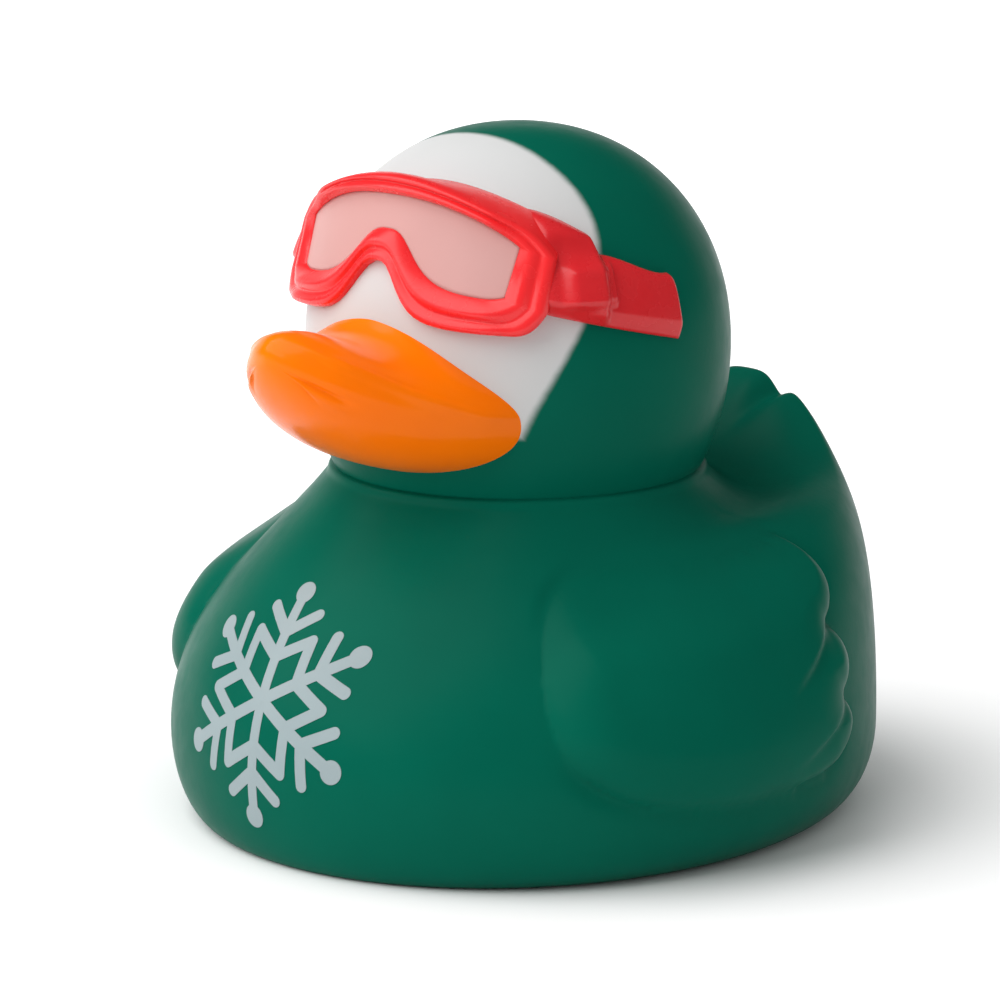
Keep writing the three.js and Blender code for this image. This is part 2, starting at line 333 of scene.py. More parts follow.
# %% Notches of the tail
FEATHER_ANGLE = 8
FEATHER_WIDTH = 2.6
FEATHER_NOTCH = 1.5
FEATHER_RUN = 0.3
CREST_MARK = 2


def tail_notch(bearing, mark):
    """How far the skin dips between two tail feathers, at a mark along the section."""
    astern = abs(180 - bearing % 360)
    near_crest = bump(mark, CREST_MARK, FEATHER_RUN)
    return FEATHER_NOTCH * bump(astern, FEATHER_ANGLE, FEATHER_WIDTH) * near_crest


def on_curve(knots, share):
    first, second, third, last = knots
    rest = 1 - share
    near = first * rest**3 + second * (3 * rest * rest * share)
    return near + third * (3 * rest * share * share) + last * share**3


print("tail notch is", FEATHER_NOTCH, "mm deep,", FEATHER_ANGLE, "degrees off the middle")

# %% [markdown]
# ## Wings as relief
# The wings are low cushions that grow out of the flank. In front they are soft; behind, three
# feather ends stand off with a crisp edge. Joined on as a mesh of their own they would show a seam,
# so they are relief of the body. A flat outline is drawn first, as a sculptor would scribe it on
# the clay. A tree of its points then tells how far inside the outline any place on the flank lies,
# and so how high it is.

# %% Wing outline on the flat
WING_BEARING = 78
WING_MID_HEIGHT = 19.3
WING_HALF_LENGTH = 18
WING_HALF_HEIGHT = 11
WING_SIZE = Vector((WING_HALF_LENGTH, WING_HALF_HEIGHT))
WING_START = (-1, 0.28)
WING_CURVES = [
    ((-1, 0.62), (-0.9, 0.84), (-0.6, 0.87)),
    ((-0.2, 0.92), (0.4, 0.86), (1.02, 1.02)),
    ((1.18, 0.8), (1.14, 0.46), (0.96, 0.28)),
    ((1.14, 0.2), (1.16, -0.18), (0.99, -0.36)),
    ((1.14, -0.46), (1.12, -0.79), (0.86, -0.99)),
    ((0.5, -1.14), (0, -1.14), (-0.3, -1.03)),
    ((-0.8, -0.92), (-1.05, -0.42), WING_START),
]
RIM_POINTS = 80
wing_rim = []
start = WING_START
for curve in WING_CURVES:
    knots = [Vector(knot) * WING_SIZE for knot in (start, *curve)]
    wing_rim += interpolate_bezier(*knots, RIM_POINTS)[:-1]
    start = curve[-1]
wing_tree = KDTree(len(wing_rim))
for index, point in enumerate(wing_rim):
    wing_tree.insert((point.x, point.y, 0), index)
wing_tree.balance()
print("wing outline has", len(wing_rim), "points")

# %% Inside the outline, and from feather to feather
FEATHER_STEP = 0.8
FEATHER_EDGE = 0.5
FEATHER_FADE = 2.5
FEATHER_START = (7, 14)
FEATHER_LINES = [(12.8, 1.1, 0.6), (15.5, -5.3, 0.52)]


def inside_wing(across, up):
    """Distance inside the wing's outline, negative outside it."""
    near, index, distance = wing_tree.find((across, up, 0))
    along = wing_rim[(index + 1) % len(wing_rim)] - wing_rim[index - 1]
    side = along.x * (up - near.y) - along.y * (across - near.x)
    return -distance if side > 0 else distance


def feather_step(across, up):
    """Each feather end lies on the one below it, so the skin drops across the line under it."""
    drop = 0
    for start, height, slope in FEATHER_LINES:
        below = (height + slope * (across - start) - up) / math.hypot(1, slope)
        drop += ease(below, -FEATHER_EDGE, FEATHER_EDGE) * math.exp(-max(below, 0) / FEATHER_FADE)
    return FEATHER_STEP * drop * ease(across, *FEATHER_START)


print("the middle of the wing lies", round(inside_wing(0, 0), 1), "mm inside its outline")

# %% Height of the wing
WING_RELIEF = 3.1
WING_FRONT_RELIEF = 2.8
WING_FRONT_RISE = 6.5
WING_TOP_RISE = 7
WING_REAR_RISE = 7
WING_TOP_FADE = 0.5
WING_LOW_POWER = 0.8
WING_TOP_POWER = 1.3
WING_CREASE = 0.4
CREASE_PLACE = -0.4
CREASE_WIDTH = 1.1
WING_MARGIN = 1.5
REAR_SPAN = (0.3 * WING_HALF_LENGTH, 0.8 * WING_HALF_LENGTH)
FRONT_SPAN = (0, 0.9 * WING_HALF_LENGTH)
UPPER_SPAN = (0.2 * WING_HALF_HEIGHT, 0.85 * WING_HALF_HEIGHT)
TOP_SPAN = (0, 0.6 * WING_HALF_HEIGHT)
CREASE_SPAN = (0.4 * WING_HALF_HEIGHT, 0.8 * WING_HALF_HEIGHT)


def wing_lift(bearing, height):
    """How far the wing stands off the flank: soft in front, with crisp feather ends behind."""
    near_side = min(bearing % 360, 360 - bearing % 360)
    across = math.radians(near_side - WING_BEARING) * BODY_HALF_WIDTH
    up = height - WING_MID_HEIGHT
    if abs(across) > WING_MARGIN * WING_HALF_LENGTH or abs(up) > WING_MARGIN * WING_HALF_HEIGHT:
        return 0
    rear = ease(across, *REAR_SPAN)
    upper = ease(up, *UPPER_SPAN) * (1 - ease(across, *FRONT_SPAN))
    depth = inside_wing(across, up)
    rise = mix(WING_FRONT_RISE, WING_TOP_RISE, ease(up, *TOP_SPAN))
    share = min(max(depth / mix(rise, WING_REAR_RISE, rear), 0), 1)
    soft = math.sin(math.pi / 2 * share) ** mix(WING_LOW_POWER, WING_TOP_POWER, upper)
    profile = mix(soft, math.sqrt(share * (2 - share)), rear)
    relief = mix(WING_FRONT_RELIEF, WING_RELIEF, rear) * (1 - WING_TOP_FADE * upper)
    crease = WING_CREASE * bump(depth, CREASE_PLACE, CREASE_WIDTH) * ease(abs(up), *CREASE_SPAN)
    return (relief - feather_step(across, up)) * profile - crease


print("wing stands", round(wing_lift(WING_BEARING + 20, WING_MID_HEIGHT), 2), "mm off the flank")

# %% [markdown]
# ## Spin the body, then move every ring point to its own section
# The chest section is spun round the neck's axis. Each point remembers how far along the section it
# lies, because the spin copies a number that is kept on the points. That number and the point's
# bearing then give its true place. The base is flat with the small air vent that every squeezable
# duck has.

# %% Points of the chest section
VENT_RADIUS = 1.5
VENT_DEPTH = 2
VENT_CHAMFER = 0.3
BASE_STEPS = 10
CURVE_STEPS = (14, 60, 54)
LAST_CURVE = 2
NECK_CROWDING = 1.4


def section_marks():
    """Marks on the section: -1 to 0 on the base, 0 to 3 on the curves, crowded at the neck."""
    marks = [-1 + step / BASE_STEPS for step in range(1, BASE_STEPS)]
    for curve, steps in enumerate(CURVE_STEPS):
        crowding = NECK_CROWDING if curve == LAST_CURVE else 1
        marks += [curve + 1 - (1 - step / steps) ** crowding for step in range(steps)]
    return marks + [LAST_CURVE + 1]


def section_point(bearing, mark):
    curves = body_curves(round(bearing, 3))
    if mark < 0:
        return Vector((mix(VENT_RADIUS + VENT_CHAMFER, curves[0][0].x, 1 + mark), 0))
    curve = min(int(mark), LAST_CURVE)
    return on_curve(curves[curve], mark - curve)


print("the chest section has", len(section_marks()), "points")

# %% Spin a section
WELD = 1e-4


def spun(bm, steps):
    """Spins a half section once round the upright axis and welds its seam and poles."""
    section = bm.verts[:] + bm.edges[:]
    bmesh.ops.spin(bm, geom=section, axis=(0, 0, 1), angle=math.tau, steps=steps, use_merge=True)
    bmesh.ops.remove_doubles(bm, verts=bm.verts, dist=WELD)
    print("spun", steps, "steps into", len(bm.verts), "points")


# %% Chain of points for the body
BODY_STEPS = 640
UNMOVED = -2
NECK_PLUG = 3
bm = bmesh.new()
mark_layer = bm.verts.layers.float.new("mark")
chain = [(UNMOVED, 0, VENT_DEPTH), (UNMOVED, VENT_RADIUS, VENT_DEPTH)]
chain += [(UNMOVED, VENT_RADIUS, VENT_CHAMFER)]
chain += [(mark, *section_point(0, mark)) for mark in section_marks()]
plug_height = NECK_HEIGHT + NECK_PLUG
chain += [(UNMOVED, NECK_RADIUS - NECK_PLUG, plug_height), (UNMOVED, 0, plug_height)]
last = None
for mark, radius, height in chain:
    vert = bm.verts.new(at(0, radius, height))
    vert[mark_layer] = mark
    if last:
        bm.edges.new((last, vert))
    last = vert
spun(bm, BODY_STEPS)

# %% Shape the body
NECK_BEAD = 0.3
BEAD_PLACE = 0.8
BEAD_WIDTH = 0.45
BEAD_OUT = 0.5
BEAD_UP = 0.85
GREEN_THIN = (0.0004, 0.1, 0.063)
GREEN_FULL = (0.0004, 0.11, 0.069)
GREEN_FINISH = (0.34, 0.03, 0.1)
for vert in bm.verts:
    mark = vert[mark_layer]
    if mark == UNMOVED:
        continue
    bearing = math.degrees(math.atan2(vert.co.x, -vert.co.y)) % 360
    radius, height = section_point(bearing, mark)
    if mark > 0:
        radius += wing_lift(bearing, height)
        height -= tail_notch(bearing, mark)
    from_neck = math.hypot(radius - NECK_RADIUS, height - NECK_HEIGHT)
    bead = NECK_BEAD * bump(from_neck, BEAD_PLACE, BEAD_WIDTH)
    vert.co = at(bearing, radius + BEAD_OUT * bead, height + BEAD_UP * bead)
green = sprayed("green_vinyl", GREEN_THIN, GREEN_FULL, *GREEN_FINISH)
finish_piece(bm, "duck_body", green)

# %% [markdown]
# ## The head
# The head is a ball that is a little taller and squarer at the crown. A scaled sphere would be too
# round there, so it is a plain spin of one profile. It sinks into the collar of the body, and the
# crease between them is the only sharp line on the skin.

# %% Profile of the head
HEAD_RADIUS = 21.3
HEAD_EQUATOR = 47.5
CROWN_RISE = 22
JOWL_DROP = 24.5
CROWN_FULLNESS = 2.12
JOWL_FULLNESS = 2


def head_reach(height):
    up = height - HEAD_EQUATOR
    share = min(1, abs(up) / (CROWN_RISE if up > 0 else JOWL_DROP))
    power = CROWN_FULLNESS if up > 0 else JOWL_FULLNESS
    return HEAD_RADIUS * (1 - share**power) ** (1 / power)


print("head is", round(2 * head_reach(NECK_HEIGHT), 1), "mm wide at the neck")

# %% [markdown]
# The white face is sprayed through a mask. Seen from the side, the edge of that mask is an eased
# step: it comes straight down from the crown and then swings forward to the chin. A mesh edge could
# follow it, but paint has no edge of its own, so the mask is worked out in the material. A little
# noise frays the edge of the spray.

# %% Mask of the white face
MASK_CROWN = 65
MASK_CROWN_AHEAD = 5.35
MASK_CHIN = 40.5
MASK_CHIN_AHEAD = 14.8
CHIN_LINE = 42
MASK_FEATHER = 0.5
FRAY = 0.1
FRAY_NOISE = (900, 3)


def face_mask(tree, where):
    """1 on the white face and 0 on the green hood and under the bill."""
    place = add_node(tree, "ShaderNodeSeparateXYZ", Vector=where)
    chin_y, crown_y = (AXIS_Y - MASK_CHIN_AHEAD) * MM, (AXIS_Y - MASK_CROWN_AHEAD) * MM
    heights = [MASK_CHIN * MM, MASK_CROWN * MM]
    edge = ranged(tree, place.outputs["Z"], chin_y, crown_y, *heights, smooth=True)
    fray = ranged(tree, noise(tree, where, *FRAY_NOISE), -FRAY * MM, FRAY * MM)
    frayed = worked(tree, "ADD", edge, fray)
    ahead = worked(tree, "SUBTRACT", frayed, place.outputs["Y"])
    feather = MASK_FEATHER * MM
    hood = ranged(tree, ahead, 0, 1, -feather, feather, smooth=True)
    chin_edge = [CHIN_LINE * MM - feather, CHIN_LINE * MM + feather]
    chin = ranged(tree, place.outputs["Z"], 0, 1, *chin_edge, smooth=True)
    return worked(tree, "MINIMUM", hood, chin)


print("face mask meets the crown", MASK_CROWN_AHEAD, "mm ahead of the neck's axis")

# %% White face on green vinyl
WHITE_THIN = (0.56, 0.565, 0.565)
WHITE_FULL = (0.6, 0.6, 0.595)
WHITE_CLOUD = (90, 3)
hood = sprayed("hood_and_face", GREEN_THIN, GREEN_FULL, *GREEN_FINISH)
tree = hood.node_tree
shader = tree.nodes["Principled BSDF"]
green_tone = shader.inputs["Base Color"].links[0].from_socket
where = tree.nodes["Texture Coordinate"].outputs["Object"]
white_tone = blend(tree, noise(tree, where, *WHITE_CLOUD), WHITE_THIN, WHITE_FULL)
face_tone = blend(tree, face_mask(tree, where), green_tone, white_tone)
tree.links.new(face_tone, shader.inputs["Base Color"])

# %% Spin the head
HEAD_STEPS = 256
HEAD_ROWS = 96
HEAD_SINK = 4
bm = bmesh.new()
head_floor = NECK_HEIGHT - HEAD_SINK
lowest_tilt = math.acos((head_floor - HEAD_EQUATOR) / JOWL_DROP)
last = bm.verts.new((0, 0, head_floor))
for row in range(HEAD_ROWS + 1):
    rise = math.cos(lowest_tilt * (1 - row / HEAD_ROWS))
    height = HEAD_EQUATOR + rise * (CROWN_RISE if rise > 0 else JOWL_DROP)
    vert = bm.verts.new(at(0, head_reach(height), height))
    bm.edges.new((last, vert))
    last = vert
spun(bm, HEAD_STEPS)
finish_piece(bm, "duck_head", hood)

# %% [markdown]
# ## A ring that is pulled from station to station
# Bill, goggles and strap are all pulled forms: one ring of points that changes shape along the way.
# The helper starts from a circle, extrudes its edges once for each station and sets the new points
# in place. A number on each point says which place in the ring it holds, and extruding copies it.

# %% Pull a ring through stations
PULLED_WELD = 1e-3


def pulled(stations):
    bm = bmesh.new()
    place = bm.verts.layers.int.new("place")
    ring = bmesh.ops.create_circle(bm, segments=len(stations[0]), radius=1)["verts"]
    for index, vert in enumerate(ring):
        vert[place] = index
        vert.co = stations[0][index]
    edges = bm.edges[:]
    for station in stations[1:]:
        made = bmesh.ops.extrude_edge_only(bm, edges=edges)["geom"]
        fresh = {item for item in made if isinstance(item, bmesh.types.BMVert)}
        edges = [item for item in made if isinstance(item, bmesh.types.BMEdge)]
        edges = [edge for edge in edges if all(vert in fresh for vert in edge.verts)]
        for vert in fresh:
            vert.co = station[vert[place]]
    bmesh.ops.holes_fill(bm, edges=[edge for edge in bm.edges if edge.is_boundary])
    bmesh.ops.remove_doubles(bm, verts=bm.verts, dist=PULLED_WELD)
    print("pulled a ring of", len(ring), "points through", len(stations), "stations")
    return bm


# %% [markdown]
# ## The bill
# The bill is broad and flat with an upturned tip, and the glossiest paint on the duck. A hump stands
# where it leaves the face, a soft ridge runs along the upper lip, and a short groove at the tip
# marks the mouth. It could be sculpted from a ball, but then nothing on it could be measured. Here
# each station is a squashed circle whose half width, height above the mouth and depth below it
# follow formulas. Ridge and groove then push it out and in along its normal.

# %% Form of the bill
BILL_REACH = 34.6
BILL_ROOT = 6
BILL_HALF_WIDTH = 16
BILL_TAPER = 0.16
BILL_SIDE_END = (2.6, 0.6)
BILL_HEIGHT = 43
BILL_CLIMB = 2.4
BILL_UPTURN = 4.8
UPTURN_POWER = 4
BILL_UPPER = 7.6
BILL_UPPER_TAPER = 0.24
BILL_UPPER_END = (8, 0.5)
BILL_UPPER_CURVE = 1.1
BILL_LOWER = 7.4
BILL_LOWER_END = (2.6, 0.55)
BILL_LOWER_CURVE = 0.9
BILL_HUMP = 2.2
HUMP_PLACE = 0.46
HUMP_WIDTH = 0.085
HUMP_POWER = 4
BILL_VALLEY = 0.45
VALLEY_PLACE = 0.67
VALLEY_WIDTH = 0.1


def rounded_off(along, fullness, root):
    """Falls from 1 to 0 as along goes from 0 to 1, slowly first, as the end of a spoon does."""
    return (1 - along**fullness) ** root


def bill_form(along, turn):
    """A point of the plain bill: along is 0 at its root and 1 at its tip, turn goes round it."""
    side, rise = math.cos(turn), math.sin(turn)
    width = BILL_HALF_WIDTH * rounded_off(along, *BILL_SIDE_END) * (1 - BILL_TAPER * along)
    mouth = BILL_HEIGHT + BILL_CLIMB * along + BILL_UPTURN * along**UPTURN_POWER
    hump = BILL_HUMP * bump(along, HUMP_PLACE, HUMP_WIDTH) * rise**HUMP_POWER
    valley = BILL_VALLEY * bump(along, VALLEY_PLACE, VALLEY_WIDTH)
    upper = BILL_UPPER * (1 - BILL_UPPER_TAPER * along) + hump - valley
    if rise > 0:
        depth, curve = upper * rounded_off(along, *BILL_UPPER_END), BILL_UPPER_CURVE
    else:
        depth, curve = BILL_LOWER * rounded_off(along, *BILL_LOWER_END), BILL_LOWER_CURVE
    x = math.copysign(width * abs(side) ** curve, side)
    z = mouth + math.copysign(depth * abs(rise) ** curve, rise)
    return Vector((x, -mix(BILL_ROOT, BILL_REACH, along), z))


print("bill is", 2 * BILL_HALF_WIDTH, "mm wide at its root")

# %% Lips of the bill
LIP_RIDGE = 0.4
LIP_WIDTH = 0.13
LIP_START = (0.3, 0.48)
LIP_END = (0.84, 0.97)
RIDGE_LOW = 0.05
RIDGE_HIGH = 0.55
RIDGE_START = 0.45
RIDGE_RUN = 0.42
RIDGE_TIP_RISE = 0.35
RIDGE_TIP = (0.87, 0.96)
MOUTH_GROOVE = 0.32
MOUTH_RISE = -0.22
MOUTH_WIDTH = 0.09
MOUTH_SPAN = (0.82, 0.91, 0.93, 0.99)
LOWER_LIP = 0.5
LOWER_LIP_DROP = 0.2


def lip_relief(along, rise):
    """How far the lips stand out at a height in the section: -1 below, 0 at the side, 1 on top."""
    climb = min(max((along - RIDGE_START) / RIDGE_RUN, 0), 1)
    ridge = mix(RIDGE_LOW, RIDGE_HIGH, climb) + RIDGE_TIP_RISE * ease(along, *RIDGE_TIP)
    roll = LIP_RIDGE * bump(rise, ridge, LIP_WIDTH) * (1 - ease(along, *LIP_END))
    lower = LOWER_LIP * bump(rise, MOUTH_RISE - LOWER_LIP_DROP, LIP_WIDTH)
    mouth = MOUTH_GROOVE * (bump(rise, MOUTH_RISE, MOUTH_WIDTH) - lower)
    return (roll - mouth * plateau(along, *MOUTH_SPAN)) * ease(along, *LIP_START)


# %% One station of the bill
BILL_POINTS = 240
PROBE = 0.004


def bill_section(along):
    """The bill's ring at one station. Small probes along and round it give its normal."""
    ring = []
    inner = max(along - PROBE, 0)
    outer = min(inner + 2 * PROBE, 1)
    for index in range(BILL_POINTS):
        turn = math.tau * index / BILL_POINTS
        point = bill_form(along, turn)
        around = bill_form(along, turn + PROBE) - bill_form(along, turn - PROBE)
        ahead = bill_form(outer, turn) - bill_form(inner, turn)
        outward = ahead.cross(around).normalized()
        if outward.dot(point - Vector((0, point.y, BILL_HEIGHT))) < 0:
            outward.negate()
        ring.append(point + outward * lip_relief(along, math.sin(turn)))
    return ring


# %% Pull the bill
BILL_STATIONS = 90
TIP_CROWDING = 1.8
ORANGE_THIN = (0.96, 0.168, 0.0006)
ORANGE_FULL = (0.99, 0.19, 0.001)
ORANGE_FINISH = (0.2, 0.13, 0.04)
orange = sprayed("orange_paint", ORANGE_THIN, ORANGE_FULL, *ORANGE_FINISH)
to_tip = [1 - (1 - step / BILL_STATIONS) ** TIP_CROWDING for step in range(BILL_STATIONS + 1)]
bm = pulled([bill_section(along) for along in to_tip])
finish_piece(bm, "duck_bill", orange)

# %% [markdown]
# ## The goggles
# On the real duck the goggles are cast with the head and then painted. The frame is drawn flat, as
# an outline with a nose arch, and then bent round the face on a cone that leans back. Between the
# lens edge and the outer edge the frame has two rolls with a groove, as moulded goggles do. A tube
# along the outline would have one round section all the way; a pulled ring can have any section.

# %% Sizes of the goggles
LENS_HEIGHT = 60
LENS_TOP = 4.4
LENS_CORNER = 0.6
LENS_BOTTOM = -4.75
LENS_BRIDGE = 1.2
LENS_HALF_LENGTH = 14.9
LENS_END_SLOPE = 1.2
LENS_BROW_CURVE = 2.3
LENS_ROUND = 0.3
NOSE_HALF_WIDTH = 4.4
NOSE_TAPER = 1.2
NOSE_POWER = 3
RIM_TOP = 2
RIM_BROW_CURVE = 1.9
RIM_END = 3.6
RIM_END_SLOPE = 0.5
RIM_BOTTOM = 3.1
RIM_CORNER = 2.3
BROW_CORNER = 0.5
END_SPAN = (0.8, 1)


def goggle_edges(across, share, flare=0, tuck=0):
    """Top and bottom of the outline at -1 to 1 across; share 0 is the lens and 1 the frame."""
    top = LENS_TOP + RIM_TOP * share - tuck
    bottom = LENS_BOTTOM - RIM_BOTTOM * share
    nose = NOSE_HALF_WIDTH - NOSE_TAPER * share
    reach = LENS_HALF_LENGTH + RIM_END * share
    run = abs(across)
    rounding = 1 - math.sqrt(max(0, 1 - ease(run, *END_SPAN) ** 2))
    end = mix(LENS_ROUND, RIM_CORNER, share) * rounding
    brow_curve = mix(LENS_BROW_CURVE, RIM_BROW_CURVE, share)
    brow = mix(top, LENS_CORNER, run**brow_curve) + flare * run
    end_slope = LENS_END_SLOPE * (1 - RIM_END_SLOPE * share)
    low_x = reach * across * (1 - end_slope / LENS_HALF_LENGTH)
    arch = (LENS_BRIDGE - LENS_BOTTOM) / (1 + abs(low_x / nose) ** NOSE_POWER)
    high = Vector((reach * across, brow - BROW_CORNER * end))
    return high, Vector((low_x, bottom + arch + end))


print("lens is", 2 * LENS_HALF_LENGTH, "mm long on the flat")

# %% Bend the outline round the face
VISOR_RADIUS = 25.9
VISOR_STANDOFF = 0.7
VISOR_SETBACK = VISOR_RADIUS - head_reach(LENS_HEIGHT) - VISOR_STANDOFF
VISOR_LEAN = 0.28
RIM_END_FADE = 0.45
SKIRT_FLARE = 1.4
SKIRT_TUCK = 0.9
SKIRT_DEPTH = 3
FRAME_COLUMNS = 72
columns = [math.cos(math.pi * step / FRAME_COLUMNS) for step in range(FRAME_COLUMNS + 1)]


def on_visor(flat, depth):
    """A point of the flat outline on the bent visor, depth in front of the lens."""
    turn = flat.x / VISOR_RADIUS
    end = ease(abs(flat.x) / LENS_HALF_LENGTH, *END_SPAN)
    fade = 1 - RIM_END_FADE * end if depth > 0 else 1
    radius = VISOR_RADIUS - VISOR_LEAN * flat.y + depth * fade
    y = VISOR_SETBACK - radius * math.cos(turn)
    return Vector((radius * math.sin(turn), y, LENS_HEIGHT + flat.y))


def goggle_ring(share, depth):
    back = ease(-depth, 0, SKIRT_DEPTH)
    skirt = (SKIRT_FLARE * back, SKIRT_TUCK * back)
    edges = [goggle_edges(across, share, *skirt) for across in columns]
    outline = [top for top, low in edges] + [low for top, low in reversed(edges)]
    return [on_visor(flat, depth) for flat in outline]


def goggle_seam(depth):
    """A ring that is pressed flat along the middle of the lens, to close the frame."""
    middle = [sum(goggle_edges(across, 0), Vector((0, 0))) / 2 for across in columns]
    return [on_visor(flat, depth) for flat in middle + middle[::-1]]


print("visor's axis lies", round(VISOR_SETBACK, 2), "mm behind the neck's")

# %% [markdown]
# The rolls are listed from the root inside the head, out over the skirt, across the two rolls and
# down to the seat of the lens. Each entry is a share of the way from lens to outer edge, and a
# depth in front of the lens.

# %% Pull the frame of the goggles
FRAME_ROOT = -9
LENS_SEAT = -1.2
FRAME_ROLLS = [
    (0.8, FRAME_ROOT),
    (1.02, -3),
    (1.02, -0.6),
    (1, 0.1),
    (0.96, 0.6),
    (0.9, 0.9),
    (0.81, 1),
    (0.72, 0.92),
    (0.65, 0.66),
    (0.6, 0.55),
    (0.55, 0.66),
    (0.48, 0.95),
    (0.4, 1.08),
    (0.32, 1.08),
    (0.25, 0.94),
    (0.04, 0.2),
    (0.01, 0.06),
    (0, -0.3),
    (0, LENS_SEAT),
]
RED_THIN = (0.81, 0.017, 0.02)
RED_FULL = (0.87, 0.022, 0.026)
RED_FINISH = (0.26, 0.4, 0.05)
red = sprayed("red_paint", RED_THIN, RED_FULL, *RED_FINISH)
rolls = [goggle_ring(share, depth) for share, depth in FRAME_ROLLS]
bm = pulled([goggle_seam(FRAME_ROOT)] + rolls + [goggle_seam(LENS_SEAT)])
finish_piece(bm, "goggle_frame", red)

# %% [markdown]
# ## The lens
# The lens is a shallow window, painted pale pink, that lies a little behind the inner roll of the
# frame. It isn't glass, so it needs no clear shader. A flat grid gets a second layer, so that it is
# a closed sheet. Then it takes the lens outline, both layers are bent with the visor, and the
# second one lies a little deeper.

# %% Give a sheet its second layer


def doubled(bm):
    """Closes a flat sheet with a second layer, one unit above the first."""
    made = bmesh.ops.extrude_face_region(bm, geom=bm.faces[:], use_keep_orig=True)["geom"]
    upper = [item for item in made if isinstance(item, bmesh.types.BMVert)]
    bmesh.ops.translate(bm, verts=upper, vec=(0, 0, 1))
    print("second layer of", len(upper), "points")


# %% Bend the lens
LENS_RECESS = 0.1
LENS_THICKNESS = 0.4
LENS_OVERLAP = 0.02
LENS_COLUMNS = 96
LENS_ROWS = 16
PINK_THIN = (0.56, 0.31, 0.29)
PINK_FULL = (0.6, 0.335, 0.315)
LENS_FINISH = (0.34, 0.15, 0.03)
pink = sprayed("lens_paint", PINK_THIN, PINK_FULL, *LENS_FINISH)
bm = bmesh.new()
bmesh.ops.create_grid(bm, x_segments=LENS_COLUMNS, y_segments=LENS_ROWS, size=1)
doubled(bm)
for vert in bm.verts:
    top, low = goggle_edges(vert.co.x, LENS_OVERLAP)
    flat = mix(low, top, (vert.co.y + 1) / 2)
    vert.co = on_visor(flat, -LENS_RECESS - LENS_THICKNESS * vert.co.z)
finish_piece(bm, "goggle_lens", pink)

# %% [markdown]
# ## The strap
# Behind the end of the frame the moulded strap starts as a tall temple block. Its top slopes down,
# steps to a band, and the band ends bluntly on the side of the head. A pad swells where the band
# leaves the block, with a hollow above it, and the lower edge of the band is bevelled. A box that is
# bent afterwards would not lie on the ball of the head, so each ring is set on that ball at once.
# The strap has the same red paint as the frame, but it is given a darker red here: that darker red is
# painted shade.

# %% Edges of the strap
STRAP_HEIGHT = 5.7
STRAP_LOW = 50.5
STRAP_SLOPE = 0.088
STRAP_START = 46
STRAP_END = 91
STRAP_END_HEIGHT = 54
STRAP_CLIMB = 2.4
STRAP_BEND = 24
TEMPLE_BEARING = 67
TEMPLE_STEP = 1.5
TEMPLE_RISE = 4.2
TEMPLE_END_RISE = 1.7
TEMPLE_CURVE = 1.6


def strap_edges(bearing):
    """Lower and upper edge at a bearing, and how much of the temple block is left there."""
    temple = 1 - ease(bearing, TEMPLE_BEARING - TEMPLE_STEP, TEMPLE_BEARING + TEMPLE_STEP)
    along = min(1, (bearing - STRAP_START) / (TEMPLE_BEARING - STRAP_START))
    middle = STRAP_END_HEIGHT + STRAP_CLIMB * ease(STRAP_END - bearing, 0, STRAP_BEND)
    block = temple * mix(TEMPLE_RISE, TEMPLE_END_RISE, along**TEMPLE_CURVE)
    low = STRAP_LOW + STRAP_SLOPE * (STRAP_END - bearing)
    return low, middle + STRAP_HEIGHT / 2 + block, temple


print("edges at the end of the strap:", [round(x, 1) for x in strap_edges(STRAP_END)[:2]], "mm")

# %% Relief of the strap
STRAP_RELIEF = 1.2
TEMPLE_RELIEF = 2.4
TEMPLE_GROWTH = (44, 53)
STRAP_BEVEL = 1.9
BEVEL_LOSS = 0.45
STRAP_PAD = 0.8
PAD_BEARINGS = (54, 59, 69.2, 70.8)
PAD_HEIGHTS = (54.4, 55.6, 58.2, 59.2)
STRAP_HOLLOW = 0.6
HOLLOW_BEARINGS = (50, 57)
HOLLOW_HEIGHTS = (58.6, 59.8, 60.2, 62)


def strap_relief(bearing, height, low, temple):
    pad = plateau(bearing, *PAD_BEARINGS) * plateau(height, *PAD_HEIGHTS)
    hollow = temple * ease(bearing, *HOLLOW_BEARINGS) * plateau(height, *HOLLOW_HEIGHTS)
    bevel = BEVEL_LOSS * ease(low + STRAP_BEVEL - height, 0, STRAP_BEVEL)
    block = temple * ease(bearing, *TEMPLE_GROWTH)
    plain = mix(STRAP_RELIEF, TEMPLE_RELIEF, block) * (1 - bevel)
    return plain + STRAP_PAD * pad - STRAP_HOLLOW * hollow


# %% One station of the strap
STRAP_POINTS = 48
STRAP_ROOT = 2.5
STRAP_TUCK = 0.8
STRAP_EDGE = (8, 0.4)
STRAP_TIP = (0.97, 1)
STRAP_TIP_RELIEF = 0.3


def strap_section(share):
    bearing = mix(STRAP_START, STRAP_END, share)
    low, high, temple = strap_edges(bearing)
    blunt = max(STRAP_TIP_RELIEF, math.sqrt(1 - ease(share, *STRAP_TIP) ** 2))
    upper_root, lower_root = [
        at(bearing, head_reach(height) - STRAP_ROOT, height)
        for height in (high - STRAP_TUCK, low + STRAP_TUCK)
    ]
    ring = [upper_root]
    for step in range(STRAP_POINTS + 1):
        side = math.cos(math.pi * step / STRAP_POINTS)
        height = mix(low, high, (side + 1) / 2)
        crown = rounded_off(abs(side), *STRAP_EDGE)
        relief = strap_relief(bearing, height, low, temple) * crown * blunt
        ring.append(at(bearing, head_reach(height) + relief, height))
    return ring + [lower_root]


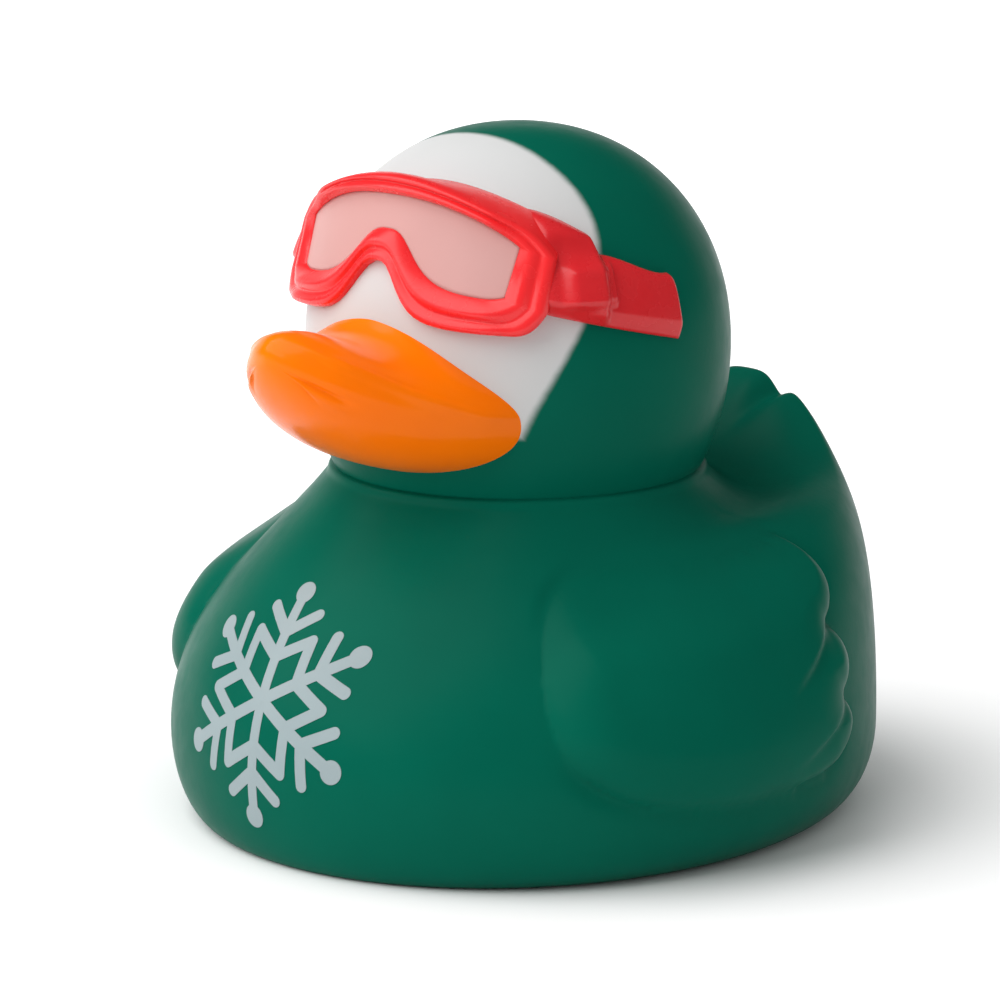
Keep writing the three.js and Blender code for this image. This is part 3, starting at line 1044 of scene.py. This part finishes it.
# %% Pull one strap and mirror it
STRAP_STATIONS = 100
# A darker red than the frame's red: painted shade on the strap, which is the frame's paint on the
# real duck.
SHADED_RED_THIN = (0.63, 0.014, 0.019)
SHADED_RED_FULL = (0.69, 0.019, 0.025)
bm = pulled([strap_section(step / STRAP_STATIONS) for step in range(STRAP_STATIONS + 1)])
twin = bmesh.ops.duplicate(bm, geom=bm.verts[:] + bm.edges[:] + bm.faces[:])["geom"]
twin_verts = [item for item in twin if isinstance(item, bmesh.types.BMVert)]
bmesh.ops.scale(bm, verts=twin_verts, vec=(-1, 1, 1))
shaded_red = sprayed("red_with_painted_shade", SHADED_RED_THIN, SHADED_RED_FULL, *RED_FINISH)
finish_piece(bm, "goggle_strap", shaded_red)

# %% [markdown]
# ## The snowflake
# The print has six like arms, and each arm is its own mirror image. So half an arm is enough: one
# outline with a stem, a round dot, a short branch and half of the diamond that joins it to the next
# arm. Noise can't draw such a figure, and a thin film of ink on the skin keeps its edges sharp.

# %% Outline of half an arm
FLAKE_ARM = 11.55
FLAKE_DOT = 1.2
FLAKE_LINE = 0.63
FLAKE_DIAMOND = 4.47
FLAKE_BRANCH = 7.08
FLAKE_BRANCH_LENGTH = 4
FLAKE_BRANCH_ANGLE = 53
ARM_ANGLE = 60
HALF_ARM_ANGLE = 30
DOT_STEPS = 14
TIP_STEPS = 10
JOINT_STEPS = 4


def arc(centre, radius, start, end, steps):
    angles = [math.radians(mix(start, end, step / steps)) for step in range(steps + 1)]
    x, y = centre
    return [(x + radius * math.cos(angle), y + radius * math.sin(angle)) for angle in angles]


def branch_foot(root, angle, side):
    """Where the edge of a branch that leaves the stem at root meets the edge of the stem."""
    turn = math.radians(angle)
    return (root + FLAKE_LINE * (side + math.cos(turn)) / math.sin(turn), FLAKE_LINE)


def half_arm():
    turn, half = math.radians(FLAKE_BRANCH_ANGLE), math.radians(HALF_ARM_ANGLE)
    tip_x = FLAKE_BRANCH + FLAKE_BRANCH_LENGTH * math.cos(turn)
    tip = (tip_x, FLAKE_BRANCH_LENGTH * math.sin(turn))
    bisector = (math.cos(half), math.sin(half))
    joint = [FLAKE_DIAMOND * math.sqrt(3) * x for x in bisector]
    dot_end = 180 - math.degrees(math.asin(FLAKE_LINE / FLAKE_DOT))
    tip_turn = (FLAKE_BRANCH_ANGLE - 90, FLAKE_BRANCH_ANGLE + 90)
    outline = [(0, 0)] + arc((FLAKE_ARM, 0), FLAKE_DOT, 0, dot_end, DOT_STEPS)
    outline += [branch_foot(FLAKE_BRANCH, FLAKE_BRANCH_ANGLE, 1)]
    outline += arc(tip, FLAKE_LINE, *tip_turn, TIP_STEPS)
    outline += [branch_foot(FLAKE_BRANCH, FLAKE_BRANCH_ANGLE, -1)]
    outline += [branch_foot(FLAKE_DIAMOND, ARM_ANGLE, 1)]
    outline += arc(joint, FLAKE_LINE, -HALF_ARM_ANGLE, HALF_ARM_ANGLE, JOINT_STEPS)
    outline += [tuple(x - 2 * FLAKE_LINE * b for x, b in zip(joint, bisector))]
    outline += [branch_foot(FLAKE_DIAMOND, ARM_ANGLE, -1)]
    outline += [tuple(2 * FLAKE_LINE * b for b in bisector)]
    return outline


print("half an arm has", len(half_arm()), "points")

# %% [markdown]
# The flat print is laid on the chest by measuring along the skin, as a transfer would lie: up and
# down along the section ahead, and sideways round the bearing.

# %% Where the print lies
FLAKE_HEIGHT = 16.45
FLAKE_ACROSS = -2.1
CHEST_START = 0.2
CHEST_SPAN = 2.6
CHEST_STEPS = 120
chest_marks = [CHEST_START + CHEST_SPAN * step / CHEST_STEPS for step in range(CHEST_STEPS + 1)]
chest_line = [section_point(0, mark) for mark in chest_marks]
chest_run = [0]
for first, second in zip(chest_line, chest_line[1:]):
    chest_run.append(chest_run[-1] + (second - first).length)


def read_off(wanted, given, asked):
    """Straight-line reading between two matching lists that rise together."""
    k = next(k for k in range(1, len(given)) if given[k] >= wanted)
    return mix(asked[k - 1], asked[k], (wanted - given[k - 1]) / (given[k] - given[k - 1]))


flake_run = read_off(FLAKE_HEIGHT, [point.y for point in chest_line], chest_run)


def chest_place(across, up, lift):
    """A point of the flat print on the chest, measured along the skin from the print's middle."""
    mark = read_off(flake_run + up, chest_run, chest_marks)
    bearing = math.degrees((across + FLAKE_ACROSS) / section_point(0, mark).x)
    radius, height = section_point(bearing, mark)
    return at(bearing, radius + lift, height)


print("print's middle lies", round(flake_run, 1), "mm up the skin of the chest")

# %% [markdown]
# The half arm is mirrored, copied round by a spin and welded. Straight cuts across the flat flake
# give it enough points to lie down on the curve of the chest, and a second layer makes it a film.

# %% Draw the flat snowflake
FLAKE_CUT = 1.2
FLAKE_TURN = 92
FLAKE_WELD = 1e-3
ARM_COPIES = 5
bm = bmesh.new()
bm.faces.new([bm.verts.new((x, y, 0)) for x, y in half_arm()])
half = bm.verts[:] + bm.edges[:] + bm.faces[:]
bmesh.ops.mirror(bm, geom=half, axis="Y", merge_dist=WELD)
whole = bm.verts[:] + bm.edges[:] + bm.faces[:]
sweep = math.radians(ARM_COPIES * ARM_ANGLE)
bmesh.ops.spin(bm, geom=whole, axis=(0, 0, 1), angle=sweep, steps=ARM_COPIES, use_duplicate=True)
bmesh.ops.remove_doubles(bm, verts=bm.verts, dist=FLAKE_WELD)
bmesh.ops.triangulate(bm, faces=bm.faces)
cuts = int(2 * (FLAKE_ARM + FLAKE_DOT) / FLAKE_CUT)
for step in range(-cuts // 2, cuts // 2 + 1):
    for square in [(1, 0, 0), (0, 1, 0)]:
        sheet = bm.verts[:] + bm.edges[:] + bm.faces[:]
        place = [step * FLAKE_CUT * x for x in square]
        bmesh.ops.bisect_plane(bm, geom=sheet, plane_co=place, plane_no=square)
turn = Matrix.Rotation(math.radians(FLAKE_TURN), 3, "Z")
bmesh.ops.rotate(bm, verts=bm.verts, matrix=turn)
print("flat snowflake has", len(bm.faces), "faces")

# %% Print the snowflake on the chest
INK_LIFT = 0.05
INK_CRISP = 30
INK_THIN = (0.28, 0.345, 0.36)
INK_FULL = (0.31, 0.375, 0.39)
INK_FINISH = (0.45, 0.15, 0.04)
ink = sprayed("snow_print", INK_THIN, INK_FULL, *INK_FINISH)
doubled(bm)
for vert in bm.verts:
    vert.co = chest_place(vert.co.x, vert.co.y, mix(-INK_LIFT, INK_LIFT, vert.co.z))
finish_piece(bm, "snow_print", ink, crisp=INK_CRISP)

# %% [markdown]
# ## A plain studio
# The duck stands on white paper under one large soft lamp, as a catalogue picture has it. The camera
# sees a white room. What mirrors in the skin is a white backdrop behind the duck, and the rest of
# the studio is dark: so the rims of the duck turn pale and its front keeps its full colour. Light
# Path tells these rays apart, and the light that falls on the duck stays at a plain level.

# %% Helpers for the room


def chosen(tree, share, first, second):
    """A number that changes from first to second with share; each is a float or a socket."""
    node = tree.nodes.new("ShaderNodeMix")
    tree.links.new(share, node.inputs["Factor"])
    for socket, value in zip([node.inputs[2], node.inputs[3]], [first, second]):
        if isinstance(value, float):
            socket.default_value = value
        else:
            tree.links.new(value, socket)
    return node.outputs[0]


def part_towards(tree, direction, axis):
    """How far a direction points along an axis, 1 straight along it and -1 the other way."""
    node = add_node(tree, "ShaderNodeVectorMath", {1: axis})
    node.operation = "DOT_PRODUCT"
    tree.links.new(direction, node.inputs[0])
    return node.outputs["Value"]


# %% Room
ROOM_HORIZON = 0.44
ROOM_ZENITH = 0.6
ROOM_DARK = 0.03
BACKDROP_BEARING = 224
BACKDROP_SIDES = (0.6, 0.75)
BACKDROP_TOP = (0.15, 0.4)
scene = bpy.context.scene
scene.view_settings.view_transform = "Standard"
world = bpy.data.worlds.new("white_room")
scene.world = world
world.use_nodes = True
tree = world.node_tree
room = tree.nodes["Background"]
room.inputs["Color"].default_value = (1, 1, 1, 1)
path = tree.nodes.new("ShaderNodeLightPath")
direction = tree.nodes.new("ShaderNodeTexCoord").outputs["Generated"]
above = part_towards(tree, direction, (0, 0, 1))
fill = ranged(tree, above, ROOM_HORIZON, ROOM_ZENITH)
behind = part_towards(tree, direction, at(BACKDROP_BEARING, 1, 0))
sides = ranged(tree, behind, ROOM_DARK, 1, *BACKDROP_SIDES, smooth=True)
top = ranged(tree, above, 1, ROOM_DARK, *BACKDROP_TOP, smooth=True)
backdrop = worked(tree, "MULTIPLY", sides, top)
mirrored = chosen(tree, path.outputs["Is Glossy Ray"], fill, backdrop)
through = chosen(tree, path.outputs["Is Transmission Ray"], mirrored, 1.0)
seen = chosen(tree, path.outputs["Is Camera Ray"], through, 1.0)
tree.links.new(seen, room.inputs["Strength"])
print("room light is", ROOM_HORIZON, "at the horizon and", ROOM_ZENITH, "overhead")

# %% [markdown]
# The floor is a sheet of white paper. Under plain light it would look grey beside the white room, so
# it glows a little for the camera, less near the duck, where the shadow lies, and more far away.

# %% Paper of the floor
FLOOR_WHITE = 0.93
FLOOR_ROUGHNESS = 0.9
FLOOR_SHINE = 0.1
FLOOR_GLOWS = [(0.12, 0.036, 0.056), (0.45, 0.056, 0.45)]


def shown_white(tree):
    """1 for what the camera sees directly or in a reflection, 0 for light that fills the room."""
    rays = tree.nodes.new("ShaderNodeLightPath").outputs
    mirrored = worked(tree, "MAXIMUM", rays["Is Glossy Ray"], rays["Is Transmission Ray"])
    return worked(tree, "MAXIMUM", rays["Is Camera Ray"], mirrored)


paper = bpy.data.materials.new("white_sweep")
paper.use_nodes = True
tree = paper.node_tree
shader = tree.nodes["Principled BSDF"]
shader.inputs["Base Color"].default_value = (FLOOR_WHITE, FLOOR_WHITE, FLOOR_WHITE, 1)
shader.inputs["Roughness"].default_value = FLOOR_ROUGHNESS
shader.inputs["Specular IOR Level"].default_value = FLOOR_SHINE
shader.inputs["Emission Color"].default_value = (1, 1, 1, 1)
away = tree.nodes.new("ShaderNodeVectorMath")
away.operation = "LENGTH"
tree.links.new(tree.nodes.new("ShaderNodeTexCoord").outputs["Object"], away.inputs[0])
near_glow, far_glow = [ranged(tree, away.outputs["Value"], 0, *glow) for glow in FLOOR_GLOWS]
glow = worked(tree, "MULTIPLY", shown_white(tree), worked(tree, "ADD", near_glow, far_glow))
tree.links.new(glow, shader.inputs["Emission Strength"])

# %% Floor
FLOOR_SIZE = 6
bm = bmesh.new()
bmesh.ops.create_grid(bm, x_segments=1, y_segments=1, size=FLOOR_SIZE)
mesh = bpy.data.meshes.new("floor")
bm.to_mesh(mesh)
bm.free()
mesh.materials.append(paper)
floor = bpy.data.objects.new("floor", mesh)
scene.collection.objects.link(floor)
floor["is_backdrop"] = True
print("floor measures", list(floor.dimensions), "m")

# %% [markdown]
# One large soft box stands ahead of the duck, a little to its right and above it. A small lamp would
# draw hard spots on the paint; a big one gives the broad, quiet lights that vinyl shows.

# %% Lamp
TARGET_ACROSS = 1.32
TARGET_AHEAD = 3.96
TARGET_HEIGHT = 32.02
TARGET = Vector((TARGET_ACROSS, AXIS_Y - TARGET_AHEAD, TARGET_HEIGHT)) * MM
KEY_AZIMUTH = -31
KEY_ELEVATION = 48
KEY_DISTANCE = 1.0
KEY_SIZE = 1.3
KEY_WATTS = 13.7


def seen_from(azimuth, elevation):
    """Direction from the duck to a place by its azimuth, 0 straight ahead, and its elevation."""
    turn, tilt = math.radians(azimuth), math.radians(elevation)
    level = math.cos(tilt)
    return Vector((math.sin(turn) * level, -math.cos(turn) * level, math.sin(tilt)))


lamp = bpy.data.lights.new("key", "AREA")
lamp.shape = "RECTANGLE"
lamp.size, lamp.size_y = KEY_SIZE, KEY_SIZE
lamp.energy = KEY_WATTS
holder = bpy.data.objects.new("key", lamp)
to_key = seen_from(KEY_AZIMUTH, KEY_ELEVATION)
holder.location = TARGET + to_key * KEY_DISTANCE
holder.rotation_euler = to_key.to_track_quat("Z", "Y").to_euler()
scene.collection.objects.link(holder)
print("key lamp stands at", [round(x, 2) for x in holder.location], "m")

# %% [markdown]
# ## The camera
# The camera stands 44 degrees to the duck's left of straight ahead and a little above it. A long
# lens from half a metre away keeps the bill from growing, as the photograph of a small toy does.

# %% Camera
CAMERA_AZIMUTH = 44
CAMERA_ELEVATION = 12.8
CAMERA_DISTANCE = 500
SENSOR_WIDTH = 36
LENS_LENGTH = 180
to_camera = seen_from(CAMERA_AZIMUTH, CAMERA_ELEVATION)
camera = bpy.data.objects.new("camera", bpy.data.cameras.new("camera"))
camera.data.sensor_width = SENSOR_WIDTH
camera.data.lens = LENS_LENGTH
camera.location = TARGET + to_camera * CAMERA_DISTANCE * MM
camera.rotation_mode = "QUATERNION"
camera.rotation_quaternion = (-to_camera).to_track_quat("-Z", "Y")
scene.collection.objects.link(camera)
scene.camera = camera
print("camera stands at", [round(x, 3) for x in camera.location], "m")

# %% Measure the visual duck and finish
low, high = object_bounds()
print("visual duck from", low, "to", high)
